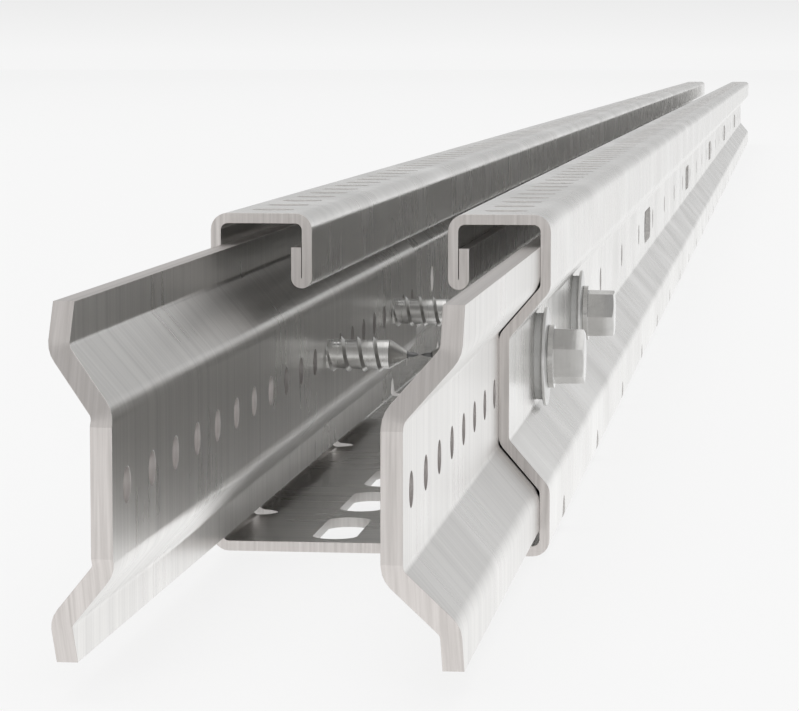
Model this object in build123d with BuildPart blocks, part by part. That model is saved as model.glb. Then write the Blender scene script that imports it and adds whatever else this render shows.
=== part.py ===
from build123d import *
import os
from math import atan2, floor, sin, tan

# Perforated steel mounting rail for solar panels, with the two splice connectors screwed inside one end.
# Millimetres. Z is up, Y runs along the rail, and X is across it. The underside of the rail is Z = 0,
# X = 0 is its middle, and Y = 0 is halfway along the whole assembly, connectors included.

os.makedirs("parts", exist_ok=True)

# Rail section: one sheet, roll-formed into a waisted channel with a slot along its top.
rail_length = 2100.0
rail_width = 50.0
rail_height = 50.0
rail_sheet = 1.5
rail_inside_radius = 1.0
top_slot_width = 20.0
lip_depth = 11.0
hem_height = 6.0
hem_gap = 0.1

# The waist: both walls step inwards over the middle of their height, a little below the rail's own middle.
waist_depth = 6.0
waist_height = 14.8
waist_slope_rise = 7.0
waist_drop = 0.4

# Perforation of the rail. The rows are told by their first place from the screwed end.
round_pitch = 86.0 / 6
flange_hole_diameter = 6.5
flange_hole_first = 11.2
floor_slot_length = 22.0
floor_slot_width = 6.7
floor_slot_pitch = 2 * round_pitch
floor_slot_first = 14.3
floor_slot_offset = 7.6
drain_diameter = 6.0
drain_first = 29.5
web_hole_diameter = 5.6
web_hole_pitch = 6 * round_pitch
web_hole_first = 50.5
web_slot_length = 38.0
web_slot_width = 9.0
web_slot_pitch = 24 * round_pitch
web_slot_first = 445.5
least_edge = 3.0

# Splice connectors: two thicker plates, bent to nest against the inner face of the walls.
connector_sheet = 2.5
connector_length = 288.0
connector_overhang = 115.0
connector_floor_clearance = 2.35
connector_top_clearance = 3.15
connector_inside_radius = 1.2
connector_wall_clearance = 0.1
connector_slope_clearance = 0.3
pilot_diameter = 4.2
corner_cut_slope = 4.8
corner_cut_tip = 8.3

# Self-drilling screws with a hexagon flange head, and their washers.
screw_diameter = 5.5
screw_core_diameter = 4.5
screws_per_side = 2
thread_run_out = 1.1
drill_point_length = 4.75
drill_tip_length = 2.2
drill_tip_diameter = 1.6
tip_clearance = 0.15
head_across_flats = 8.0
head_height = 4.8
head_chamfer = 0.15
head_chamfer_slope = 0.5
head_turns = [-19.5, 5.5]
flange_diameter = 10.2
flange_height = 1.0
flange_rim = 0.7
seal_diameter = 14.0
seal_thickness = 1.3
washer_diameter = 16.0
washer_rim = 0.5
washer_height = 0.7
thread_clearance = 0.05

# Places that follow from the sizes above.
assembly_length = rail_length + connector_overhang
rail_start = connector_overhang - assembly_length / 2
rail_end = rail_start + rail_length
connector_start = rail_start - connector_overhang
connector_end = connector_start + connector_length
half_width = rail_width / 2
waist_middle = rail_height / 2 - waist_drop
web_outside = half_width - waist_depth
web_inside = web_outside - rail_sheet
slope_angle = atan2(waist_depth, waist_slope_rise)
screw_places = [rail_start + web_hole_first + n * web_hole_pitch for n in range(screws_per_side)]
through_diameter = screw_diameter + 2 * thread_clearance
cut_margin = 2.0


def wall_corners(x_leg, x_web, bottom, top, shift):
    """Corners of one face of a waisted wall, from its foot up, with the slopes moved away from the middle."""
    straight = waist_height / 2 + shift
    leg = straight + waist_slope_rise * (x_leg - x_web) / waist_depth
    return [
        (x_leg, bottom),
        (x_leg, waist_middle - leg),
        (x_web, waist_middle - straight),
        (x_web, waist_middle + straight),
        (x_leg, waist_middle + leg),
        (x_leg, top),
    ]


def row(first, pitch, length, half_size):
    """Places of a row of holes along the rail, as far as the holes keep clear of the sawn end."""
    count = floor((length - least_edge - half_size - first) / pitch) + 1
    return [first + n * pitch for n in range(count)]


def sheet_shift(thickness):
    """How far a bend's corner moves along the upright faces from one side of the sheet to the other."""
    return thickness * tan(slope_angle / 2)


# Rail. Its half section is drawn once and mirrored, then the perforations are punched.
outer_radius = rail_inside_radius + rail_sheet
lip_x = top_slot_width / 2
lip_foot = rail_height - lip_depth
hem_inner = hem_gap / 2
hem_outer = hem_inner + rail_sheet
hem_x = lip_x + hem_outer
hem_z = lip_foot + hem_outer
hem_top = lip_foot + hem_height
outside = [
    (lip_x, hem_z),
    (lip_x, rail_height),
    *reversed(wall_corners(half_width, web_outside, 0, rail_height, 0)),
    (0, 0),
]
inside = [
    (0, rail_sheet),
    *wall_corners(
        half_width - rail_sheet, web_inside, rail_sheet, rail_height - rail_sheet, sheet_shift(rail_sheet)
    ),
    (lip_x + rail_sheet, rail_height - rail_sheet),
    (lip_x + rail_sheet, hem_z),
]
inner, outer = rail_inside_radius, outer_radius

with BuildPart() as rail:
    with BuildSketch(Plane.XZ.offset(-rail_start)):
        with BuildLine():
            FilletPolyline(*outside, radius=[outer, outer, outer, inner, inner, outer, outer])
            Line(outside[-1], inside[0])
            FilletPolyline(*inside, radius=[inner, inner, outer, outer, inner, inner, inner])
            CenterArc((hem_x, hem_z), hem_inner, 180, 180)
            Polyline(
                (hem_x + hem_inner, hem_z),
                (hem_x + hem_inner, hem_top),
                (hem_x + hem_outer, hem_top),
                (hem_x + hem_outer, hem_z),
            )
            CenterArc((hem_x, hem_z), hem_outer, 180, 180)
        make_face()
        mirror(about=Plane.YZ)
    extrude(amount=-rail_length)

    # Round holes in the two top flanges.
    flange_x = (lip_x + half_width) / 2
    flange_row = row(flange_hole_first, round_pitch, rail_length, flange_hole_diameter / 2)
    with BuildSketch(Plane.XY.offset(rail_height + cut_margin)):
        with Locations([(s * flange_x, rail_start + y) for y in flange_row for s in (-1, 1)]):
            Circle(flange_hole_diameter / 2)
    extrude(amount=-(rail_sheet + 2 * cut_margin), mode=Mode.SUBTRACT)

    # Two rows of long slots in the floor.
    floor_row = row(floor_slot_first, floor_slot_pitch, rail_length, floor_slot_length / 2)
    with BuildSketch(Plane.XY.offset(-cut_margin)):
        with Locations([(s * floor_slot_offset, rail_start + y) for y in floor_row for s in (-1, 1)]):
            SlotOverall(floor_slot_length, floor_slot_width, rotation=90)
    extrude(amount=rail_sheet + 2 * cut_margin, mode=Mode.SUBTRACT)

    # Round holes and long slots through both webs.
    web_hole_row = row(web_hole_first, web_hole_pitch, rail_length, web_hole_diameter / 2)
    web_slot_row = row(web_slot_first, web_slot_pitch, rail_length, web_slot_length / 2)
    with BuildSketch(Plane.YZ.offset(-half_width)):
        with Locations([(rail_start + y, waist_middle) for y in web_hole_row]):
            Circle(web_hole_diameter / 2)
        with Locations([(rail_start + y, waist_middle) for y in web_slot_row]):
            SlotOverall(web_slot_length, web_slot_width)
    extrude(amount=rail_width, mode=Mode.SUBTRACT)

    # Drain holes punched through the bends between the floor and the walls.
    drain_row = row(drain_first, web_hole_pitch, rail_length, drain_diameter / 2)
    drain_inset = rail_sheet / 2
    for side in (-1, 1):
        bend = Plane(
            origin=(side * (half_width - drain_inset), 0, drain_inset), x_dir=(0, 1, 0), z_dir=(side, 0, -1)
        )
        with BuildSketch(bend):
            with Locations([(rail_start + y, 0) for y in drain_row]):
                Circle(drain_diameter / 2)
        extrude(amount=drain_diameter / 2 + rail_sheet, both=True, mode=Mode.SUBTRACT)

rail.part.label = "rail"
export_step(rail.part, "parts/rail.step")

# Connectors. The web's outer face lies on the rail's web, and the legs and slopes stand just clear.
# The right one is drawn, and the left one is its mirror image.
leg_outside = half_width - rail_sheet - connector_wall_clearance
slope_gap = connector_slope_clearance / sin(slope_angle)
outer_shift = sheet_shift(rail_sheet) + slope_gap
inner_shift = outer_shift + sheet_shift(connector_sheet)
connector_bottom = rail_sheet + connector_floor_clearance
connector_top = rail_height - rail_sheet - connector_top_clearance
tight = connector_inside_radius
wide = connector_inside_radius + connector_sheet
face_towards_rail = wall_corners(leg_outside, web_inside, connector_bottom, connector_top, outer_shift)
face_towards_middle = wall_corners(
    leg_outside - connector_sheet, web_inside - connector_sheet, connector_bottom, connector_top, inner_shift
)


def end_cut(end, inward, tip):
    """Side view of what is trimmed off a connector's slope and leg at one end, from the web to the leg's tip."""
    up = 1 if tip > waist_middle else -1
    bend = waist_middle + up * waist_height / 2
    leg = bend + up * (slope_gap + waist_slope_rise)
    outline = [
        (-cut_margin, bend),
        (0, bend),
        (corner_cut_slope, leg),
        (corner_cut_tip, tip),
        (corner_cut_tip, tip + up * cut_margin),
        (-cut_margin, tip + up * cut_margin),
    ]
    return [(end + inward * y, z) for y, z in outline]


# Its holes stand in line with the rail's web holes, and a screw has opened out the ones that it went through.
first_web_hole = rail_start + web_hole_first
holes_before = floor((first_web_hole - connector_start - least_edge) / round_pitch)
holes_after = floor((connector_end - least_edge - first_web_hole) / round_pitch)
hole_places = [first_web_hole + n * round_pitch for n in range(-holes_before, holes_after + 1)]
pilot_places = [y for y in hole_places if min(abs(y - s) for s in screw_places) > round_pitch / 2]

with BuildPart() as connector_right:
    with BuildSketch(Plane.XZ.offset(-connector_start)):
        with BuildLine():
            FilletPolyline(*face_towards_rail, radius=[wide, tight, tight, wide])
            Line(face_towards_rail[-1], face_towards_middle[-1])
            FilletPolyline(*face_towards_middle, radius=[tight, wide, wide, tight])
            Line(face_towards_rail[0], face_towards_middle[0])
        make_face()
    extrude(amount=-connector_length)
    with BuildSketch(Plane.YZ):
        for end, inward in ((connector_start, 1), (connector_end, -1)):
            for tip in (connector_bottom, connector_top):
                with BuildLine():
                    Polyline(*end_cut(end, inward, tip), close=True)
                make_face()
    extrude(amount=half_width, mode=Mode.SUBTRACT)
    with BuildSketch(Plane.YZ):
        with Locations([(y, waist_middle) for y in pilot_places]):
            Circle(pilot_diameter / 2)
        with Locations([(y, waist_middle) for y in screw_places]):
            Circle(through_diameter / 2)
    extrude(amount=half_width, mode=Mode.SUBTRACT)

connector_right.part.label = "connector_right"
export_step(connector_right.part, "parts/connector_right.step")

with BuildPart() as connector_left:
    mirror(connector_right.part, about=Plane.YZ)

connector_left.part.label = "connector_left"
export_step(connector_left.part, "parts/connector_left.step")

# Seals, washers and screws. Each screw goes in from outside the rail, and its drill point ends at the middle.
seal_face = web_outside + seal_thickness
washer_face = seal_face + washer_height
head_base = washer_face + flange_height
head_end = head_base + head_height
seat_radius = flange_diameter / 2
head_face_radius = head_across_flats / 2 - head_chamfer
drill_start = tip_clearance + drill_point_length
seal_profile = [
    (web_outside, through_diameter / 2),
    (web_outside, seal_diameter / 2),
    (seal_face, seal_diameter / 2),
    (seal_face, through_diameter / 2),
]
washer_profile = [
    (seal_face, through_diameter / 2),
    (seal_face, washer_diameter / 2),
    (seal_face + washer_rim, washer_diameter / 2),
    (washer_face, seat_radius),
    (washer_face, through_diameter / 2),
]
head_blank = [
    (head_base, 0),
    (head_base, seat_radius),
    (head_end - (seat_radius - head_face_radius) * head_chamfer_slope, seat_radius),
    (head_end, head_face_radius),
    (head_end, 0),
]
screw_profile = [
    (tip_clearance, 0),
    (tip_clearance + drill_tip_length, drill_tip_diameter / 2),
    (drill_start, screw_core_diameter / 2),
    (drill_start + thread_run_out, screw_diameter / 2),
    (washer_face, screw_diameter / 2),
    (washer_face, seat_radius),
    (washer_face + flange_rim, seat_radius),
    (head_base, head_across_flats / 2),
    (head_base, 0),
]

for side, side_name in ((1, "right"), (-1, "left")):
    for place, turn, place_name in zip(screw_places, head_turns, ("near", "far")):
        axis = Axis((0, place, waist_middle), (1, 0, 0))
        profile_plane = Plane(origin=(0, place, waist_middle), x_dir=(side, 0, 0), z_dir=(0, -side, 0))
        head_plane = Plane(origin=(side * head_base, place, waist_middle), x_dir=(0, side, 0), z_dir=(side, 0, 0))

        with BuildPart() as seal:
            with BuildSketch(profile_plane):
                with BuildLine():
                    Polyline(*seal_profile, close=True)
                make_face()
            revolve(axis=axis)

        seal_name = f"seal_{side_name}_{place_name}"
        seal.part.label = seal_name
        export_step(seal.part, f"parts/{seal_name}.step")

        with BuildPart() as washer:
            with BuildSketch(profile_plane):
                with BuildLine():
                    Polyline(*washer_profile, close=True)
                make_face()
            revolve(axis=axis)

        washer_name = f"washer_{side_name}_{place_name}"
        washer.part.label = washer_name
        export_step(washer.part, f"parts/{washer_name}.step")

        with BuildPart() as screw:
            with BuildSketch(head_plane):
                RegularPolygon(head_across_flats / 2, 6, major_radius=False, rotation=turn)
            extrude(amount=head_height)
            with BuildSketch(profile_plane):
                with BuildLine():
                    Polyline(*head_blank, close=True)
                make_face()
            revolve(axis=axis, mode=Mode.INTERSECT)
            with BuildSketch(profile_plane):
                with BuildLine():
                    Polyline(*screw_profile, close=True)
                make_face()
            revolve(axis=axis)

        screw_name = f"screw_{side_name}_{place_name}"
        screw.part.label = screw_name
        export_step(screw.part, f"parts/{screw_name}.step")
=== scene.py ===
from math import radians, tan

import bpy
import numpy as np
from mathutils.geometry import delaunay_2d_cdt
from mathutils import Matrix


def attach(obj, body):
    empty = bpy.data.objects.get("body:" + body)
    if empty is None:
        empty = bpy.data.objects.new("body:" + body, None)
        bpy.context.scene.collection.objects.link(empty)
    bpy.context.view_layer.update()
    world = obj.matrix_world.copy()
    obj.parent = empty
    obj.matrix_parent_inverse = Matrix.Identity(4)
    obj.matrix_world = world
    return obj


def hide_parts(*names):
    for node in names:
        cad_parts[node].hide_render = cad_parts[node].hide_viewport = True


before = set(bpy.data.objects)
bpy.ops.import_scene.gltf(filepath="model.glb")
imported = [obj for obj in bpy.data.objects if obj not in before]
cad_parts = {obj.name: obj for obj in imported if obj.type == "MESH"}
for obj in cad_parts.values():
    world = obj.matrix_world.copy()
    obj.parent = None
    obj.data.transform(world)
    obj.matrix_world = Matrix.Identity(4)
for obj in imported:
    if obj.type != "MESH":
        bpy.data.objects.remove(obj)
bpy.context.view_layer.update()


# The rail: one strip of galvanised steel 1.5 mm thick and 2.1 m long. It is punched while it is flat, and
# then rolled to a 50 mm square with waisted sides, a slot along its top and hemmed lips. It lies flat on its
# floor, and the two connectors are pushed into its near end.
rail_sheet = 1.5
rail_start = -992.5
rail_end = 1107.5
rail_edge = 0.03
rail_parts = 24

# Corners of the section, in millimetres from the rail's middle and up from the floor, along the sheet's
# mid-line.
rail_bend = 1.75
hem_bend = 0.8
lip_mid = 10.75
hem_mid = 12.35
hem_top = 45.0
hem_foot = 39.75
flange_mid = 49.25
leg_mid = 24.25
web_mid = 18.25
floor_mid = 0.75
waist_middle = 24.6
web_corner = 7.677
leg_corner = 14.677

# Rows of holes: each row's place across the rail, its first hole from the rail's near end, its pitch, how
# many holes it has and their size. The reach is how far a row's gauge is drawn to either side of its centre
# line, nowhere is a distance from that line at which there is no hole, and the rounds count an outline's
# corners.
web_pitch = 86.0
hole_pitch = web_pitch / 6
flange_row = 17.5
flange_hole_first = 11.2
flange_hole_count = 146
flange_hole = 6.5
flange_reach = 4
floor_slot_row = 7.6
floor_slot_first = 14.3
floor_slot_pitch = web_pitch / 3
floor_slot_count = 73
floor_slot_long = 22.0
floor_slot_wide = 6.7
floor_slot_reach = 4.5
drain_first = 29.5
drain_count = 25
drain_hole = 6.0
drain_reach = 4.6
web_hole_first = 50.5
web_hole_count = 24
web_hole = 5.6
web_reach = 6
web_slot_first = 445.5
web_slot_pitch = 4 * web_pitch
web_slot_count = 5
web_slot_long = 38.0
web_slot_wide = 9.0
coarse_round = 20
fine_round = 24
gauge_steps = 40001
nowhere = 1e3
bend_chord = radians(15)


def rolled_line(corners, stops=()):
    """The mid-line of a rolled section. Straight runs join the corner points (x, z, radius), and each corner
    is rounded by an arc that touches both runs: it starts radius * tan(turn / 2) before the corner, its
    centre lies a radius to the side, and its stations are at most one bend chord apart. Stops adds stations
    on straight runs where z passes the given heights. Returns the length of strip, x, z and the two parts of
    the normal at each station, and that normal is the direction of the run turned a quarter to the left."""
    points = np.array(corners, float)
    runs = np.diff(points[:, :2], axis=0)
    runs /= np.linalg.norm(runs, axis=1)[:, None]
    x, z, nx, nz, length = [points[0, 0]], [points[0, 1]], [-runs[0, 1]], [runs[0, 0]], [0.0]
    for (cx, cz, radius), before, after in zip(points[1:-1], runs[:-1], runs[1:]):
        turn = np.arctan2(before[0] * after[1] - before[1] * after[0], before @ after)
        side = np.sign(turn)
        start = np.array([cx, cz]) - before * radius * tan(abs(turn) / 2)
        angle = turn * np.linspace(0, 1, int(np.ceil(abs(turn) / bend_chord)) + 1)
        left = np.array([-before[1], before[0]])
        centre = start + side * radius * left
        ax = left[0] * np.cos(angle) - left[1] * np.sin(angle)
        az = left[0] * np.sin(angle) + left[1] * np.cos(angle)
        run = np.hypot(start[0] - x[-1], start[1] - z[-1])
        length.extend(length[-1] + run + radius * np.abs(angle))
        x.extend(centre[0] - side * radius * ax)
        z.extend(centre[1] - side * radius * az)
        nx.extend(ax)
        nz.extend(az)
    length.append(length[-1] + np.hypot(points[-1, 0] - x[-1], points[-1, 1] - z[-1]))
    x.append(points[-1, 0])
    z.append(points[-1, 1])
    nx.append(-runs[-1, 1])
    nz.append(runs[-1, 0])
    line = np.array([length, x, z, nx, nz])
    added = []
    for height in stops:
        crossed = np.flatnonzero((line[2, :-1] - height) * (line[2, 1:] - height) < 0)
        share = (height - line[2, crossed]) / (line[2, crossed + 1] - line[2, crossed])
        added.append(line[:, crossed] + share * (line[:, crossed + 1] - line[:, crossed]))
    line = np.concatenate([line, *added], axis=1)
    return line[:, np.argsort(line[0], kind="stable")]


def flat_gauge(line, x, z, reach):
    """The gauge of a row on a flat part of the section, whose centre line passes the point (x, z): the
    length of strip grows by as much as the distance across."""
    step = np.linspace(0, line[0, -1], gauge_steps)
    away = np.hypot(np.interp(step, line[0], line[1]) - x, np.interp(step, line[0], line[2]) - z)
    centre = step[np.argmin(away)]
    return np.array([[centre - reach, centre + reach], [-reach, reach]])


def corner_gauge(line, x, z, side, reach):
    """The gauge of a row of holes bored at 45 degrees through a bottom corner (x, z). The distance across is
    measured square to the bore, (outward + upward) / sqrt(2), so it grows along the floor, round the bend
    and up the wall."""
    step = np.linspace(0, line[0, -1], gauge_steps)
    px, pz = np.interp(step, line[0], line[1]), np.interp(step, line[0], line[2])
    across = ((px - x) * side + (pz - z)) / np.sqrt(2)
    nearby = reach * 1.5
    near = (np.hypot(px - x, pz - z) < nearby) & (pz < z + nearby)
    return np.array([step[near], -side * across[near]])


def outline_row(gauge, first, pitch, count, long, wide, corners):
    """A row of equal punched holes. A hole is a circle, or a slot with round ends along the strip, drawn
    with that many corners. The gauge is a pair of arrays, length of strip and distance across the row's
    centre line, which turns a distance across into a place on the strip, also round a bend."""
    angle = (np.arange(corners) + 0.5) / corners * 2 * np.pi
    straight = (long - wide) / 2
    across = np.interp(wide / 2 * np.sin(angle), gauge[1], gauge[0])
    along = straight * np.sign(np.cos(angle)) + wide / 2 * np.cos(angle)
    centres = first + pitch * np.arange(count)
    outlines = np.stack(np.broadcast_arrays(across, centres[:, None] + along), axis=-1)
    return {"gauge": gauge, "first": first, "pitch": pitch, "count": count, "straight": straight,
            "radius": wide / 2, "outlines": outlines}


def punched(rows, strip, along):
    """True where a point of the flat strip lies in one of the holes: the distance from the nearest hole's
    straight middle is less than its radius."""
    inside = np.zeros(len(strip), bool)
    for row in rows:
        nearest = np.clip(np.round((along - row["first"]) / row["pitch"]), 0, row["count"] - 1)
        beside = np.maximum(np.abs(along - row["first"] - nearest * row["pitch"]) - row["straight"], 0)
        across = np.interp(strip, *row["gauge"], left=nowhere, right=nowhere)
        inside |= np.hypot(across, beside) < row["radius"]
    return inside


def flat_strip(line, start, end, rows, parts):
    """The flat strip as a triangle mesh. A line along the strip at each station of the section, the strip's
    two ends and the outlines of the holes are edges of it, and the triangles in the holes, past the ends or
    without area are left out. Returns the points (length of strip, place along it) and the triangles, turned
    the same way."""
    merged = 1e-4
    least_area = 1e-7
    stations = line[0]
    share = np.linspace(0, 1, parts + 1)
    along = start[:, None] + share * (end - start)[:, None]
    grid = np.stack(np.broadcast_arrays(stations[:, None], along), axis=-1)
    number = np.arange(grid[..., 0].size).reshape(grid.shape[:2])
    points = [grid.reshape(-1, 2)]
    edges = [np.stack([number[:, :-1], number[:, 1:]], axis=-1).reshape(-1, 2)]
    edges += [np.stack([number[:-1, k], number[1:, k]], axis=-1) for k in (0, -1)]
    used = number.size
    for row in rows:
        holes, corners = row["outlines"].shape[:2]
        number = used + np.arange(holes * corners).reshape(holes, corners)
        points.append(row["outlines"].reshape(-1, 2))
        edges.append(np.stack([number, np.roll(number, -1, axis=1)], axis=-1).reshape(-1, 2))
        used += holes * corners
    flat = delaunay_2d_cdt(np.concatenate(points).tolist(), np.concatenate(edges).tolist(), [], 0, merged)
    points = np.array([tuple(p) for p in flat[0]])
    triangles = np.array(flat[2])
    a, b, c = points[triangles[:, 0]], points[triangles[:, 1]], points[triangles[:, 2]]
    area = (b[:, 0] - a[:, 0]) * (c[:, 1] - a[:, 1]) - (b[:, 1] - a[:, 1]) * (c[:, 0] - a[:, 0])
    triangles[area < 0] = triangles[area < 0][:, ::-1]
    strip, along = ((a + b + c) / 3).T
    kept = np.abs(area) > least_area
    kept &= (along > np.interp(strip, stations, start)) & (along < np.interp(strip, stations, end))
    kept &= ~punched(rows, strip, along)
    used, triangles = np.unique(triangles[kept], return_inverse=True)
    return points[used], triangles.reshape(-1, 3)


def new_piece(name, points, blocks, finishes):
    """A mesh object from whole arrays. The points are in millimetres. A block is a set of faces with the
    same number of corners: their corner numbers, the corners' normals, their strip coordinates and the
    number of the finish."""
    mesh = bpy.data.meshes.new(name)
    corners = np.concatenate([block[0].ravel() for block in blocks])
    sizes = np.concatenate([np.full(len(block[0]), block[0].shape[1]) for block in blocks])
    mesh.vertices.add(len(points))
    mesh.vertices.foreach_set("co", (np.asarray(points) / 1000).ravel())
    mesh.loops.add(len(corners))
    mesh.loops.foreach_set("vertex_index", corners)
    mesh.polygons.add(len(sizes))
    mesh.polygons.foreach_set("loop_start", np.concatenate([[0], np.cumsum(sizes)[:-1]]))
    mesh.polygons.foreach_set("use_smooth", np.ones(len(sizes), bool))
    mesh.polygons.foreach_set("material_index", np.concatenate([np.full(len(b[0]), b[3]) for b in blocks]))
    mesh.update(calc_edges=True)
    strip = mesh.uv_layers.new(name="strip")
    strip.uv.foreach_set("vector", np.concatenate([b[2].reshape(-1, 2) for b in blocks]).ravel() / 1000)
    mesh.normals_split_custom_set(np.concatenate([b[1].reshape(-1, 3) for b in blocks]).tolist())
    for finish in finishes:
        mesh.materials.append(finish)
    piece = bpy.data.objects.new(name, mesh)
    bpy.context.scene.collection.objects.link(piece)
    return piece


def rolled_sheet(name, line, thick, start, end, rows, parts, edge, finishes):
    """A punched strip bent to its section. A point of the flat strip goes to the same place on the mid-line,
    half the sheet's thickness out or in along the normal there. Along each cut edge the two faces stop short
    by the width of the broken edge, and a ring of faces closes it: broken edge, cut face, broken edge. The
    three finishes are those of the faces, of the cut ends and rims, and of the punched holes' walls. A
    hole's wall is shaded smooth where it turns by less than 50 degrees, and a rim where it runs straight
    on."""
    mitre_limit = 1.5
    rim_reach = 1e-3
    rim_smooth = 0.999
    wall_smooth = 0.9
    points, triangles = flat_strip(line, start, end, rows, parts)
    directed = np.concatenate([triangles[:, [0, 1]], triangles[:, [1, 2]], triangles[:, [2, 0]]])
    key = directed[:, 0] * len(points) + directed[:, 1]
    rim = directed[~np.isin(key, directed[:, 1] * len(points) + directed[:, 0])]
    run = points[rim[:, 1]] - points[rim[:, 0]]
    inward = np.stack([-run[:, 1], run[:, 0]], axis=1) / np.linalg.norm(run, axis=1)[:, None]
    mean = np.zeros_like(points)
    np.add.at(mean, rim[:, 0], inward)
    np.add.at(mean, rim[:, 1], inward)
    lengths = np.linalg.norm(mean, axis=1)
    on_rim = lengths > 0
    mean[on_rim] /= lengths[on_rim][:, None]
    inset = points.copy()
    inset[on_rim] += mean[on_rim] * edge * np.minimum(2 / lengths[on_rim], mitre_limit)[:, None]

    def bent(flat, offset):
        """Points of the flat strip on the section's mid-line, moved out along its normal."""
        x, z, nx, nz = (np.interp(flat[:, 0], line[0], values) for values in line[1:])
        size = np.hypot(nx, nz)
        return np.stack([x + offset * nx / size, flat[:, 1], z + offset * nz / size], axis=1)

    def turned(flat, vectors):
        """Vectors in the flat strip's plane, turned with the section at their points."""
        nx, nz = (np.interp(flat[:, 0], line[0], values) for values in line[3:])
        size = np.hypot(nx, nz)
        return np.stack([vectors[:, 0] * nz / size, vectors[:, 1], -vectors[:, 0] * nx / size], axis=1)

    rim_points = np.flatnonzero(on_rim)
    number = np.zeros(len(points), int)
    number[rim_points] = np.arange(len(rim_points))
    base = points[rim_points]
    outer = bent(inset, thick / 2)
    inner = bent(inset, -thick / 2)
    upper = bent(base, thick / 2 - edge)
    lower = bent(base, edge - thick / 2)
    count = len(points)
    face_normal = bent(points, 1) - bent(points, 0)
    strip_at, place_at = points[rim].mean(axis=1).T
    limits = [np.interp(strip_at, line[0], limit) for limit in (start, end)]
    at_end = (place_at < limits[0] + rim_reach) | (place_at > limits[1] - rim_reach)
    at_end |= (strip_at < rim_reach) | (strip_at > line[0, -1] - rim_reach)
    smooth = np.einsum("ijk,ik->ij", mean[rim], inward) > np.where(at_end, rim_smooth, wall_smooth)[:, None]
    outward = -np.where(smooth[..., None], mean[rim], inward[:, None])
    wall = np.stack([turned(points[rim[:, k]], outward[:, k]) for k in (0, 1)], axis=1)
    over = wall + face_normal[rim]
    under = wall - face_normal[rim]
    over /= np.linalg.norm(over, axis=2)[..., None]
    under /= np.linalg.norm(under, axis=2)[..., None]
    strip = points[:, ::-1]
    ends = strip[rim]
    four = [0, 0, 1, 1]
    blocks = [
        (triangles, face_normal[triangles], strip[triangles], 0),
        (triangles[:, ::-1] + count, -face_normal[triangles[:, ::-1]], strip[triangles[:, ::-1]], 0),
    ]
    levels = [rim, 2 * count + number[rim], 2 * count + len(base) + number[rim], count + rim]
    for top, low, normal in zip(levels, levels[1:], (over, wall, under)):
        quads = np.stack([top[:, 0], low[:, 0], low[:, 1], top[:, 1]], axis=1)
        blocks.append((quads, normal[:, four], ends[:, four], np.where(at_end, 1, 2)))
    return new_piece(name, np.concatenate([outer, inner, upper, lower]), blocks, finishes)


def feed(tree, socket, value):
    """Gives a socket a value, or links another node's output to it."""
    if isinstance(value, bpy.types.NodeSocket):
        tree.links.new(value, socket)
    else:
        socket.default_value = value


def add_node(tree, kind, inputs, **settings):
    """A shader node with its settings and what feeds its inputs, which go by their name or number."""
    node = tree.nodes.new(f"ShaderNode{kind}")
    for setting, value in settings.items():
        setattr(node, setting, value)
    for socket, value in inputs.items():
        feed(tree, node.inputs[socket], value)
    return node


def calculate(tree, operation, *values):
    """The result of an operation of a Math node on values or other nodes' outputs."""
    return add_node(tree, "Math", dict(enumerate(values)), operation=operation).outputs["Value"]


def stretch(tree, value, low, high, start=0.3, stop=0.7):
    """Stretches a value that runs from start to stop to run from low to high, and holds it between them. A
    noise lies mostly between 0.3 and 0.7."""
    ends = {"Value": value, "From Min": start, "From Max": stop, "To Min": low, "To Max": high}
    return add_node(tree, "MapRange", ends).outputs["Result"]


def blend_colours(tree, factor, first, second, kind="MIX"):
    """Mixes two colours by a factor from 0 to 1, or multiplies them. Each is a value or another node's
    output."""
    mix = add_node(tree, "Mix", {}, data_type="RGBA", blend_type=kind)
    sockets = {socket.name: socket for socket in mix.inputs if socket.enabled}
    for name, value in (("Factor", factor), ("A", first), ("B", second)):
        feed(tree, sockets[name], value)
    return [socket for socket in mix.outputs if socket.enabled][0]


def relief(tree, height, strength, distance=0.00005, under=None):
    """A normal that a height over the surface tilts, on top of another relief where one is given."""
    inputs = {"Height": height, "Strength": strength, "Distance": distance}
    if under is not None:
        inputs["Normal"] = under
    return add_node(tree, "Bump", inputs).outputs["Normal"]


def noise_at(tree, vector, scale, detail, roughness=0.55):
    """Noise over a vector in metres that is first scaled on each axis, so that it can be drawn out along
    one."""
    scaled = add_node(tree, "Mapping", {"Scale": scale, "Vector": vector}).outputs["Vector"]
    noise = {"Scale": 1, "Detail": detail, "Roughness": roughness, "Vector": scaled}
    return add_node(tree, "TexNoise", noise).outputs["Fac"]


def noise_group(name, patterns):
    """A shader node group that turns a vector into one noise for each pattern, with its scale on each axis
    and its detail."""
    group = bpy.data.node_groups.new(name, "ShaderNodeTree")
    group.interface.new_socket("Vector", in_out="INPUT", socket_type="NodeSocketVector")
    for pattern, scale, detail in patterns:
        group.interface.new_socket(pattern, in_out="OUTPUT", socket_type="NodeSocketFloat")
    entry = group.nodes.new("NodeGroupInput")
    result = group.nodes.new("NodeGroupOutput")
    for pattern, scale, detail in patterns:
        feed(group, result.inputs[pattern], noise_at(group, entry.outputs["Vector"], scale, detail))
    return group


def new_finish(name, metallic):
    """A material with a Principled shader of that metallic value, and its tree and shader."""
    finish = bpy.data.materials.new(name)
    finish.use_nodes = True
    shader = finish.node_tree.nodes["Principled BSDF"]
    shader.inputs["Metallic"].default_value = metallic
    return finish, finish.node_tree, shader


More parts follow.
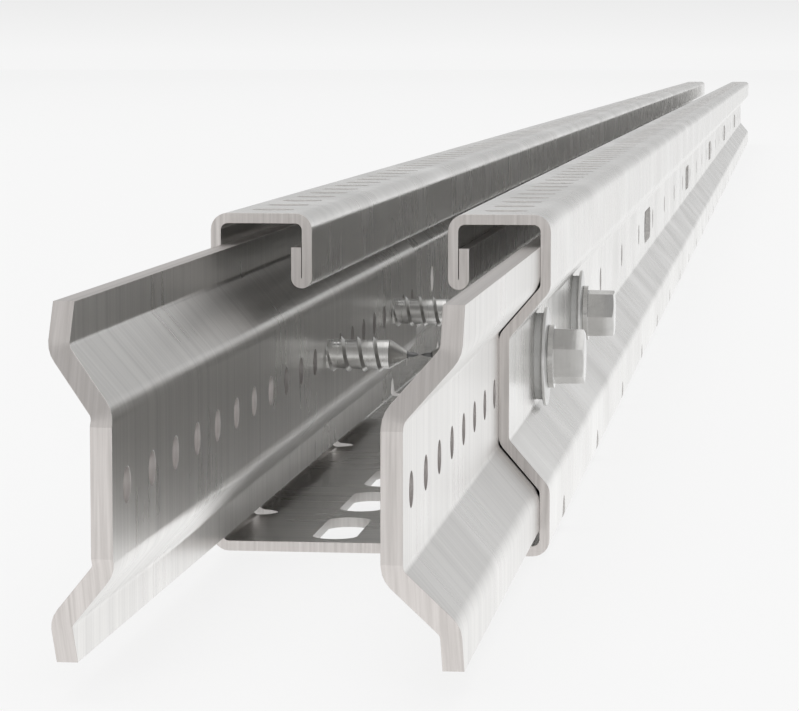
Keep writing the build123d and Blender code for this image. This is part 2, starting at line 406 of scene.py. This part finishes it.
# Rolled strip has fine lines across it from the rolls' polish and the zinc that ran on it: hair lines about
# 1 mm apart, broader bands about 3 mm apart, and large soft clouds.
streaks = noise_group("roll_streaks", [
    ("Hair", (1100, 3, 1), 2), ("Bands", (300, 5, 1), 3), ("Clouds", (30, 30, 1), 3),
])


def rolled_steel(name, dark, light, glossy, dull, hair_height):
    """Bright rolled steel on the strip's own map. The bands run from the dark to the light colour, and the
    hair lines shade it by a few hundredths. Bands and clouds make it duller. The bands are shallow waves in
    the surface too, with the hair lines on them, both less than a twentieth of a millimetre high."""
    finish, tree, shader = new_finish(name, 1.0)
    strip = add_node(tree, "UVMap", {}, uv_map="strip").outputs["UV"]
    lines = add_node(tree, "Group", {"Vector": strip}, node_tree=streaks).outputs
    hair, bands, clouds = lines["Hair"], lines["Bands"], lines["Clouds"]
    colour = blend_colours(tree, stretch(tree, bands, 0.0, 1.0), dark, light)
    shade = stretch(tree, hair, low=0.91, high=1.06)
    tone = add_node(tree, "CombineColor", {"Red": shade, "Green": shade, "Blue": shade}).outputs["Color"]
    feed(tree, shader.inputs["Base Color"], blend_colours(tree, 1.0, colour, tone, "MULTIPLY"))
    dullness = calculate(tree, "MULTIPLY_ADD", bands, 0.5, clouds)
    feed(tree, shader.inputs["Roughness"], stretch(tree, dullness, glossy, dull, start=0.5, stop=1.0))
    waves = relief(tree, bands, strength=0.4)
    feed(tree, shader.inputs["Normal"], relief(tree, hair, hair_height, under=waves))
    return finish


def cut_steel(name, metallic, dark, light):
    """Bare steel where the sheet is cut or punched: a warm grey, with fine lines up and down in colour,
    gloss and relief."""
    finish, tree, shader = new_finish(name, metallic)
    place = add_node(tree, "TexCoord", {}).outputs["Object"]
    lines = noise_at(tree, place, scale=(1900, 0, 60), detail=4, roughness=0.6)
    colour = blend_colours(tree, stretch(tree, lines, 0.0, 1.0), dark, light)
    feed(tree, shader.inputs["Base Color"], colour)
    feed(tree, shader.inputs["Roughness"], stretch(tree, lines, low=0.5, high=0.36))
    feed(tree, shader.inputs["Normal"], relief(tree, lines, strength=0.35))
    return finish


rail_steel = rolled_steel("rail_steel", dark=(0.69, 0.685, 0.67, 1), light=(0.80, 0.79, 0.77, 1),
                          glossy=0.20, dull=0.33, hair_height=0.04)
cut_edge = cut_steel("cut_edge", metallic=0.9, dark=(0.565, 0.535, 0.515, 1), light=(0.72, 0.685, 0.665, 1))
# The walls of the rail's punched holes are the cut steel painted a lighter grey than the cut ends: painted
# light on walls that the softbox hardly reaches.
punched_edge_painted_light = cut_steel("punched_edge_painted_light", metallic=0.15, dark=(0.70, 0.68, 0.665, 1),
                         light=(0.84, 0.82, 0.80, 1))

rail_half = [
    (hem_mid, hem_top, 0), (hem_mid, hem_foot, hem_bend), (lip_mid, hem_foot, hem_bend),
    (lip_mid, flange_mid, rail_bend), (leg_mid, flange_mid, rail_bend),
    (leg_mid, waist_middle + leg_corner, rail_bend), (web_mid, waist_middle + web_corner, rail_bend),
    (web_mid, waist_middle - web_corner, rail_bend), (leg_mid, waist_middle - leg_corner, rail_bend),
    (leg_mid, floor_mid, rail_bend),
]
rail_line = rolled_line(rail_half + [(-x, z, radius) for x, z, radius in rail_half[::-1]])

rail_rows = []
for side in (1, -1):
    flange = flat_gauge(rail_line, side * flange_row, flange_mid, flange_reach)
    floor = flat_gauge(rail_line, side * floor_slot_row, floor_mid, floor_slot_reach)
    web = flat_gauge(rail_line, side * web_mid, waist_middle, web_reach)
    drain = corner_gauge(rail_line, side * leg_mid, floor_mid, side, drain_reach)
    rail_rows += [
        outline_row(flange, rail_start + flange_hole_first, hole_pitch, flange_hole_count,
                    flange_hole, flange_hole, fine_round),
        outline_row(floor, rail_start + floor_slot_first, floor_slot_pitch, floor_slot_count,
                    floor_slot_long, floor_slot_wide, coarse_round),
        outline_row(drain, rail_start + drain_first, web_pitch, drain_count,
                    drain_hole, drain_hole, fine_round),
        outline_row(web, rail_start + web_hole_first, web_pitch, web_hole_count,
                    web_hole, web_hole, coarse_round),
        outline_row(web, rail_start + web_slot_first, web_slot_pitch, web_slot_count,
                    web_slot_long, web_slot_wide, fine_round),
    ]

stations = np.ones(rail_line.shape[1])
rail = rolled_sheet("rail_body", rail_line, rail_sheet, stations * rail_start, stations * rail_end, rail_rows,
                    rail_parts, rail_edge, [rail_steel, cut_edge, punched_edge_painted_light])
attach(rail, "root")
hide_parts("rail")


# The two splice connectors: steel strip 2.5 mm thick, rolled to half of the rail's waisted section, with a
# row of pilot holes. Their ends are sheared so that in a side view they run back from the middle. Each is
# pushed into the rail's end, one along each side, and sticks out to take the next rail.
connector_sheet = 2.5
connector_start = -1107.5
connector_end = -819.5
connector_edge = 0.035
connector_parts = 10
connector_bend = 2.45
connector_leg = 22.235
connector_web = 16.25
connector_low = 3.85
connector_high = 45.35
connector_web_corner = 8.72
connector_leg_corner = 15.6
pilot_first = 7.833
pilot_count = 20
pilot_hole = 4.2
pilot_reach = 4
shear_level = 7.4
shear_slope = 14.861
shear_slope_back = 4.8
shear_tip = 20.75
shear_tip_back = 8.3


def sheared_end(height):
    """How far the end lies behind the connector's tip line at a height from its middle: level over the web,
    then in two straight runs back to the slope's end and to the flanges' tips."""
    heights = [shear_level, shear_slope, shear_tip]
    return np.interp(np.abs(height), heights, [0.0, shear_slope_back, shear_tip_back])


connector_steel = rolled_steel("connector_steel", dark=(0.68, 0.67, 0.655, 1), light=(0.81, 0.80, 0.78, 1),
                               glossy=0.25, dull=0.34, hair_height=0.05)
pilot_edge = cut_steel("pilot_edge", metallic=0.9, dark=(0.535, 0.51, 0.50, 1), light=(0.70, 0.67, 0.655, 1))
for side, name in ((1, "right"), (-1, "left")):
    corners = [
        (side * connector_leg, connector_high, 0),
        (side * connector_leg, waist_middle + connector_leg_corner, connector_bend),
        (side * connector_web, waist_middle + connector_web_corner, connector_bend),
        (side * connector_web, waist_middle - connector_web_corner, connector_bend),
        (side * connector_leg, waist_middle - connector_leg_corner, connector_bend),
        (side * connector_leg, connector_low, 0),
    ]
    connector_line = rolled_line(corners, (waist_middle - shear_level, waist_middle + shear_level))
    back = sheared_end(connector_line[2] - waist_middle)
    web = flat_gauge(connector_line, side * connector_web, waist_middle, pilot_reach)
    pilots = outline_row(web, connector_start + pilot_first, hole_pitch, pilot_count, pilot_hole, pilot_hole,
                         fine_round)
    connector = rolled_sheet(f"connector_body_{name}", connector_line, connector_sheet,
                             connector_start + back, connector_end - back, [pilots], connector_parts,
                             connector_edge, [connector_steel, cut_edge, pilot_edge])
    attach(connector, "root")
    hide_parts(f"connector_{name}")


# The seals: grey rubber rings bonded under the steel washers. Each lies on the rail's web, in the waist,
# round one of the web's holes, and the tightened screw makes its edge bulge a little.
screw_places = ((-942.0, "near"), (-856.0, "far"))
seal_base = 19.0
seal_face = 20.3
seal_radius = 7.0
seal_edge = 0.03
seal_round = 0.1
seal_bulge = 0.06
bore_radius = 2.8
ring_columns = 96
smooth_cosine = 0.82


def turned_piece(name, side, place, along, radius, angle, ring, extra, finishes, limits=()):
    """A closed surface round a screw's axis, from two arrays over (profile point, angle): the distance out
    from the rail's middle and the radius. Each point goes to (side * along, place + side * radius *
    cos(angle), middle height + radius * sin(angle)), so the left side is the right side turned half round an
    upright line. A profile is a ring that closes on itself, or it starts and ends on the axis. A corner's
    normal is the mean of those of the faces round its point that lie within 35 degrees of its own face.
    Extra is more points and faces, such as a thread, with their finish. Each limit that a face lies inside
    of moves it on to the next finish."""
    angle = np.broadcast_to(angle, radius.shape)
    along = np.broadcast_to(along, radius.shape)
    spots = np.stack([along, radius * np.cos(angle), radius * np.sin(angle)], axis=-1)
    rows, columns = radius.shape
    number = np.arange(rows * columns).reshape(rows, columns)
    if ring:
        spots = np.concatenate([spots, spots[:1]])
        number = np.concatenate([number, number[:1]])
    else:
        number[0], number[-1] = number[0, 0], number[-1, 0]
    beside = np.roll(number, -1, axis=1)
    quads = np.stack([number[:-1], beside[:-1], beside[1:], number[1:]], axis=-1)
    wide = np.roll(spots, -1, axis=1)
    square = np.cross(wide[1:] - spots[:-1], spots[1:] - wide[:-1])
    square /= np.linalg.norm(square, axis=-1)[..., None]
    above, below = (square[-1:], square[:1]) if ring else (square[:1], square[-1:])
    around = np.concatenate([above, square, below])
    normals = np.zeros(quads.shape + (3,))
    for corner, (down, right) in enumerate(((0, 0), (0, 1), (1, 1), (1, 0))):
        for row in (down, down + 1):
            for turn in (1 - right, -right):
                other = np.roll(around[row:row + len(square)], turn, axis=1)
                near = np.einsum("ijk,ijk->ij", other, square) > smooth_cosine
                normals[:, :, corner] += other * near[..., None]
    normals /= np.linalg.norm(normals, axis=-1)[..., None]
    strip = np.stack(np.broadcast_arrays(radius * angle, along), axis=-1)
    strip = np.concatenate([strip, strip[:1]]) if ring else strip
    edge = np.roll(strip, -1, axis=1)
    edge[:, -1, 0] = (radius * 2 * np.pi)[np.r_[:rows, 0] if ring else np.r_[:rows], -1]
    maps = np.stack([strip[:-1], edge[:-1], edge[1:], strip[1:]], axis=2)
    kinds = (maps[..., 1].mean(axis=2)[..., None] < np.array(limits)).sum(axis=2)
    blocks = []
    first, last = (0, len(quads)) if ring else (1, len(quads) - 1)
    if not ring:
        for row, kept in ((0, [0, 2, 3]), (len(quads) - 1, [0, 1, 3])):
            blocks.append((quads[row][:, kept], normals[row][:, kept], maps[row][:, kept], kinds[row]))
    blocks.append((quads[first:last].reshape(-1, 4), normals[first:last].reshape(-1, 4, 3),
                   maps[first:last].reshape(-1, 4, 2), kinds[first:last].ravel()))
    spots = spots[:rows].reshape(-1, 3)
    for more, faces, more_normals, more_maps, finish in extra:
        blocks.append((faces + len(spots), more_normals, more_maps, finish))
        spots = np.concatenate([spots, more])
    used, renumbered = np.unique(np.concatenate([b[0].ravel() for b in blocks]), return_inverse=True)
    start = 0
    placed = []
    for faces, face_normals, face_maps, finish in blocks:
        stop = start + faces.size
        numbers = renumbered[start:stop].reshape(faces.shape)
        placed.append((numbers, face_normals * [side, side, 1], face_maps, finish))
        start = stop
    spots = spots[used] * [side, side, 1] + [0, place, waist_middle]
    return new_piece(name, spots, placed, finishes)


def turned_ring(name, side, place, along, radius, finish):
    """A ring round a screw's axis whose section is the same all round."""
    angle = np.linspace(0, 2 * np.pi, ring_columns, endpoint=False)
    radius = np.repeat(radius[:, None], ring_columns, axis=1)
    return turned_piece(name, side, place, along[:, None], radius, angle, True, [], [finish])


seal_rubber, seal_tree, seal_shader = new_finish("seal_rubber", 0.0)
seal_spot = add_node(seal_tree, "TexCoord", {}).outputs["Object"]
seal_grain = noise_at(seal_tree, seal_spot, scale=(3500, 3500, 3500), detail=3)
seal_smears = noise_at(seal_tree, seal_spot, scale=(400, 400, 160), detail=3)
seal_dark = (0.60, 0.60, 0.59, 1)
seal_light = (0.71, 0.71, 0.70, 1)
seal_colour = blend_colours(seal_tree, stretch(seal_tree, seal_smears, 0.0, 1.0), seal_dark, seal_light)
feed(seal_tree, seal_shader.inputs["Base Color"], seal_colour)
feed(seal_tree, seal_shader.inputs["Roughness"], stretch(seal_tree, seal_grain, low=0.42, high=0.62))
feed(seal_tree, seal_shader.inputs["Normal"], relief(seal_tree, seal_grain, strength=0.3, distance=0.00004))

belly = np.linspace(-1, 1, 7)
seal_flank = seal_base + seal_edge + (belly + 1) / 2 * (seal_face - seal_base - 2 * seal_edge)
seal_along = np.concatenate([[seal_base], seal_flank, [seal_face, seal_face, seal_base]])
seal_out = np.concatenate([[seal_radius - seal_round], seal_radius - seal_bulge * belly**2,
                           [seal_radius - seal_round, bore_radius, bore_radius]])
for side, hand in ((1, "right"), (-1, "left")):
    for place, spot in screw_places:
        seal = turned_ring(f"rubber_seal_{hand}_{spot}", side, place, seal_along, seal_out, seal_rubber)
        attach(seal, "root")
        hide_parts(f"seal_{hand}_{spot}")


# The washers: stamped and plated steel discs on top of the seals, a little wider than them. Each is slightly
# domed, and the flange of its screw's head presses on its middle.
washer_radius = 8.0
washer_rim = 20.8
washer_face = 21.0
washer_edge = 0.08
washer_round = 0.1
flange_radius = 5.1

fastener_marks = noise_group("turned_marks", [("Rings", (60, 3000, 1), 2), ("Stains", (420, 420, 1), 4)])


def plated_steel(name, dark, light, glossy, dull):
    """Zinc plated steel of a turned or stamped part: faint stains, and fine rings round its axis in gloss
    and relief."""
    finish, tree, shader = new_finish(name, 1.0)
    strip = add_node(tree, "UVMap", {}, uv_map="strip").outputs["UV"]
    marks = add_node(tree, "Group", {"Vector": strip}, node_tree=fastener_marks).outputs
    stains = stretch(tree, marks["Stains"], 0.0, 1.0)
    rings = marks["Rings"]
    feed(tree, shader.inputs["Base Color"], blend_colours(tree, stains, dark, light))
    feed(tree, shader.inputs["Roughness"], stretch(tree, rings, glossy, dull))
    feed(tree, shader.inputs["Normal"], relief(tree, rings, strength=0.05, distance=0.00004))
    return finish


washer_steel = plated_steel("washer_steel", dark=(0.60, 0.60, 0.59, 1), light=(0.76, 0.76, 0.75, 1),
                            glossy=0.26, dull=0.40)
dome = np.linspace(0, 1, 7)
dome_along = washer_rim + (washer_face - washer_rim) * np.sin(dome * np.pi / 2)
dome_start = washer_radius - washer_round
dome_out = dome_start - (dome_start - flange_radius) * dome
washer_along = np.concatenate([[seal_face, seal_face + washer_edge, washer_rim - washer_edge], dome_along,
                               [washer_face, seal_face]])
washer_out = np.concatenate([[dome_start, washer_radius, washer_radius], dome_out,
                             [bore_radius, bore_radius]])
for side, hand in ((1, "right"), (-1, "left")):
    for place, spot in screw_places:
        washer = turned_ring(f"steel_washer_{hand}_{spot}", side, place, washer_along, washer_out,
                             washer_steel)
        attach(washer, "root")
        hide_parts(f"washer_{hand}_{spot}")


# The four self-drilling screws of plated steel: forged hexagon flange heads 8 mm across, a single coarse
# thread rolled on a core of 4.76 mm, and a fluted drill point. Each clamps the rail's web to a connector's,
# and the points of a pair nearly meet.

# The head on its flange, out from the rail's middle: its sizes, and how its edges are broken.
head_turns = (radians(-19.5), radians(5.5))
head_columns = 72
head_base = 22.0
head_end = 26.8
flat_radius = 4.0
corner_radius = 4.61
head_foot = 0.04
head_taper = 0.08
end_taper = 0.14
corner_drop = 0.3
least_drop = 0.03
flange_middle = 3.0
flange_thick = 0.9
flange_edge = 0.08
flange_slope = 0.03

# The shank and its neck under the head, the thread on it, and the drill point, whose tip is close to the
# rail's middle. The thread's finish ends at the rail's web, and the drill point's behind its spade tip: the
# tip's dark finish is painted shade.
core_radius = 2.38
shank_middle = 12.0
neck_start = 20.4
neck_end = 20.6
neck_radius = 2.6
thread_finish_end = 19.0
thread_turn = radians(144)
turn_parts = 40
thread_pitch = 2.62
thread_start = 5.45
thread_end = 15.4
thread_root = 0.12
thread_rise = 0.35
thread_least = 0.35
thread_slope = 0.72
thread_crest = 0.06
thread_back = 0.12
crest_radius = 2.88
crest_least = 0.02
point_start = 4.9
point_joint = 0.05
point_finish_end = 2.35
tip_gap = 0.15


def drill_point(angle):
    """Profile rows of the drill point, from its tip to the core. Each row is an oval of a wide and a thin
    radius, wide * thin / hypot(thin * cos, wide * sin) at an angle from its wide side, and that side turns
    with the distance, so that the thin sides make two twisted flutes behind a spade tip."""
    out = np.array([0.0, 0.25, 0.7, 1.2, 1.6, 1.95, 2.6, 3.3, 4.0, 4.68, point_start - tip_gap])
    wide = np.array([0.0, 0.16, 0.4, 0.5, 0.42, 0.66, 1.08, 1.53, 1.97, core_radius - 0.02, core_radius])
    thin = np.array([0.0, 0.1, 0.16, 0.2, 0.24, 0.36, 0.64, 0.96, 1.36, 1.8, core_radius])
    twist = np.radians(np.interp(out, [0, 2, 4], [150, 115, 102]))
    swung = angle[None] - twist[:, None]
    oval = np.hypot(thin[:, None] * np.cos(swung), wide[:, None] * np.sin(swung))
    radius = np.where(oval > 0, wide[:, None] * thin[:, None] / np.maximum(oval, 1e-9), 0)
    return np.broadcast_to((tip_gap + out)[:, None], radius.shape), radius


def hexagon_head(angle, turn):
    """Profile rows of the flange and the head. The head's radius is the flat distance over the cosine of the
    angle from the nearest flat's middle, held to the corner radius, and it tapers by a little towards the
    end. The end is broken all round, and more at the corners."""
    from_flat = (angle - turn) % (np.pi / 3) - np.pi / 6
    six = np.minimum(flat_radius / np.cos(from_flat), corner_radius)
    one = np.ones_like(angle)
    drop = corner_drop * (six - flat_radius) + least_drop
    rows = [
        (washer_face, flange_middle * one),
        (washer_face, (flange_radius - flange_edge) * one),
        (washer_face + flange_edge, flange_radius * one),
        (washer_face + flange_thick, flange_radius * one),
        (washer_face + flange_thick + flange_slope, (flange_radius - flange_slope) * one),
        (head_base - head_foot, six + head_foot),
        (head_base, six),
        (head_end - drop, six - head_taper),
        (head_end, (flat_radius - end_taper) * one),
        (head_end, 0 * one),
    ]
    return np.stack([row[0] * one for row in rows]), np.stack([row[1] for row in rows])


def screw_thread(turn, finish):
    """The thread: a ridge with a long slope towards the point and a steep back, whose corners lie at foot +
    (crest - foot) * height, carried along a right-hand helix round the core, where the distance out grows by
    the pitch in each turn. Over the first and the last third of a turn its crest sinks into the core and its
    section narrows."""
    turns = (thread_end - thread_start) / thread_pitch
    around = np.linspace(0, turns, int(turns * turn_parts))
    rise = np.clip(np.minimum(around / thread_rise, (turns - around) / thread_rise), 0, 1)
    foot = core_radius - thread_root
    crest = foot + crest_least + (crest_radius - foot - crest_least) * rise
    across = np.array([-thread_slope, -thread_crest, 0.0, thread_back])
    height = np.array([0.0, 1.0, 1.0, 0.0])
    radius = foot + (crest[:, None] - foot) * height
    angle = turn + 2 * np.pi * around[:, None]
    section = thread_least + (1 - thread_least) * rise
    along = thread_start + thread_pitch * around[:, None] + across * section[:, None]
    spots = np.stack([along, radius * np.cos(angle), radius * np.sin(angle)], axis=-1)
    rows, columns = radius.shape
    number = np.arange(rows * columns).reshape(rows, columns)
    beside = np.roll(number, -1, axis=1)
    faces = np.stack([number[:-1], beside[:-1], beside[1:], number[1:]], axis=-1).reshape(-1, 4)
    corners = spots.reshape(-1, 3)[faces]
    square = np.cross(corners[:, 2] - corners[:, 0], corners[:, 3] - corners[:, 1])
    square /= np.linalg.norm(square, axis=1)[:, None]
    cap = np.array([number[0, ::-1], number[-1]])
    cap_normals = np.array([[-1.0, 0, 0], [1.0, 0, 0]])
    maps = np.stack([np.broadcast_to(angle * core_radius, radius.shape), along], axis=-1).reshape(-1, 2)
    none = np.zeros((0, 3))
    return [
        (spots.reshape(-1, 3), faces, np.repeat(square[:, None], 4, axis=1), maps[faces], finish),
        (none, cap - rows * columns, np.repeat(cap_normals[:, None], columns, axis=1), maps[cap], finish),
    ]


screw_steel = plated_steel("screw_steel", dark=(0.51, 0.505, 0.495, 1), light=(0.58, 0.575, 0.565, 1),
                           glossy=0.14, dull=0.2)
thread_steel = plated_steel("thread_steel", dark=(0.61, 0.605, 0.59, 1), light=(0.72, 0.715, 0.70, 1),
                            glossy=0.26, dull=0.34)
# The spade tip of each screw, deep in the rail's middle, is the plated steel painted dark grey: painted
# shade.
drill_tip_painted_shade = plated_steel("drill_tip_painted_shade", dark=(0.12, 0.12, 0.12, 1), light=(0.22, 0.22, 0.22, 1),
                           glossy=0.34, dull=0.46)
for side, hand in ((1, "right"), (-1, "left")):
    for (place, spot), turn in zip(screw_places, head_turns):
        angle = turn + np.arange(head_columns) * 2 * np.pi / head_columns
        point_along, point_radius = drill_point(angle)
        shank = np.array([[point_start + point_joint, core_radius], [shank_middle, core_radius],
                          [neck_start, core_radius], [neck_end, neck_radius], [washer_face, neck_radius]])
        head_along, head_radius = hexagon_head(angle, turn)
        one = np.ones_like(angle)
        along = np.concatenate([point_along, shank[:, :1] * one, head_along])
        radius = np.concatenate([point_radius, shank[:, 1:] * one, head_radius])
        screw = turned_piece(f"self_drilling_screw_{hand}_{spot}", side, place, along, radius, angle, False,
                             screw_thread(thread_turn, 1), [screw_steel, thread_steel, drill_tip_painted_shade],
                             (thread_finish_end, point_finish_end))
        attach(screw, "root")
        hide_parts(f"screw_{hand}_{spot}")


# The studio: the photographer's low viewpoint off the connector end, a pale floor that fills the view, even
# light from all round and a softbox in front. The softbox lights the object without being mirrored in its
# steel.
lens = bpy.data.cameras.new("camera")
lens.lens = 142.39
lens.sensor_width = 36
lens.clip_end = 50
camera_down = 5.477
camera_left = 7.049
camera = bpy.data.objects.new("camera", lens)
camera.location = (0.05934, -1.44888, 0.0734)
camera.rotation_euler = (radians(90 - camera_down), 0, radians(camera_left))
bpy.context.scene.collection.objects.link(camera)
bpy.context.scene.camera = camera
bpy.context.scene.view_settings.view_transform = "Standard"

# The camera sees the floor mostly by a glow of its own, and for the rest as a pale surface that takes the
# object's shadow. The glow fades by a little with the distance, and in the steel's reflections it is
# brighter close beside the rail.
floor_side = 8
floor_back = 12
floor_height = -0.0003
floor_corners = [(-floor_side, -floor_side, floor_height), (floor_side, -floor_side, floor_height),
                 (floor_side, floor_back, floor_height), (-floor_side, floor_back, floor_height)]
floor_mesh = bpy.data.meshes.new("floor")
floor_mesh.from_pydata(floor_corners, [], [(0, 1, 2, 3)])
floor_paint, floor_tree, floor_shader = new_finish("floor", 0.0)
floor_shader.inputs["Base Color"].default_value = (0.9, 0.9, 0.9, 1)
floor_shader.inputs["Roughness"].default_value = 0.9
floor_spot = add_node(floor_tree, "TexCoord", {}).outputs["Object"]
floor_distance = add_node(floor_tree, "VectorMath", {0: floor_spot}, operation="LENGTH").outputs["Value"]
floor_fade = stretch(floor_tree, floor_distance, low=0.98, high=0.95, start=1.2, stop=8)
floor_across = add_node(floor_tree, "SeparateXYZ", {"Vector": floor_spot}).outputs["X"]
floor_beside = calculate(floor_tree, "ABSOLUTE", floor_across)
floor_near = stretch(floor_tree, floor_beside, low=1.1, high=1.0, start=0.035, stop=0.13)
floor_rays = add_node(floor_tree, "LightPath", {}).outputs
floor_mirrored = calculate(floor_tree, "MULTIPLY", floor_rays["Is Glossy Ray"], floor_near)
floor_level = calculate(floor_tree, "MAXIMUM", floor_fade, floor_mirrored)
floor_glow = add_node(floor_tree, "Emission", {"Strength": floor_level}).outputs["Emission"]
floor_glow_share = 0.82
floor_shown = calculate(floor_tree, "MULTIPLY", floor_rays["Is Camera Ray"], floor_glow_share)
floor_seen = calculate(floor_tree, "MAXIMUM", floor_shown, floor_rays["Is Glossy Ray"])
floor_surface = floor_shader.outputs["BSDF"]
floor_mix = add_node(floor_tree, "MixShader", {"Fac": floor_seen, 1: floor_surface, 2: floor_glow})
feed(floor_tree, floor_tree.nodes["Material Output"].inputs["Surface"], floor_mix.outputs["Shader"])
floor_mesh.materials.append(floor_paint)
floor_object = bpy.data.objects.new("floor", floor_mesh)
bpy.context.scene.collection.objects.link(floor_object)

# The light from all round follows the height above the horizon: pale low down, dim between and bright
# overhead. The camera sees a plain grey above the floor's edge instead, which darkens by a little upwards.
world = bpy.data.worlds.new("studio")
bpy.context.scene.world = world
world.use_nodes = True
world_tree = world.node_tree
sky = world_tree.nodes["Background"]
direction = add_node(world_tree, "TexCoord", {}).outputs["Generated"]
upward = add_node(world_tree, "SeparateXYZ", {"Vector": direction}).outputs["Z"]
level = add_node(world_tree, "ValToRGB", {"Fac": upward})
stops = level.color_ramp.elements
stops[0].position, stops[0].color = 0.0, (0.72, 0.72, 0.72, 1)
stops[1].position, stops[1].color = 1.0, (0.95, 0.95, 0.95, 1)
for position, value in ((0.1, 0.50), (0.3, 0.35), (0.82, 0.36), (0.93, 0.95)):
    stops.new(position).color = (value, value, value, 1)
light_level = 1.45
light = calculate(world_tree, "MULTIPLY", level.outputs["Color"], light_level)
seen = add_node(world_tree, "LightPath", {}).outputs["Is Camera Ray"]
backdrop = stretch(world_tree, upward, low=0.915, high=0.845, start=0.0, stop=0.016)
shown = add_node(world_tree, "Mix", {"Factor": seen, "A": light, "B": backdrop}, data_type="FLOAT")
feed(world_tree, sky.inputs["Strength"], shown.outputs["Result"])
sky.inputs["Color"].default_value = (1, 1, 1, 1)

lamp_shape = bpy.data.lights.new("front_softbox", "AREA")
lamp_shape.shape = "RECTANGLE"
lamp_shape.size = 4.0
lamp_shape.size_y = 2.0
lamp_shape.energy = 80
lamp = bpy.data.objects.new("front_softbox", lamp_shape)
lamp.location = (0.3, -5.5, 2.6)
lamp.rotation_euler = (radians(65), 0, radians(3))
lamp.visible_glossy = False
bpy.context.scene.collection.objects.link(lamp)
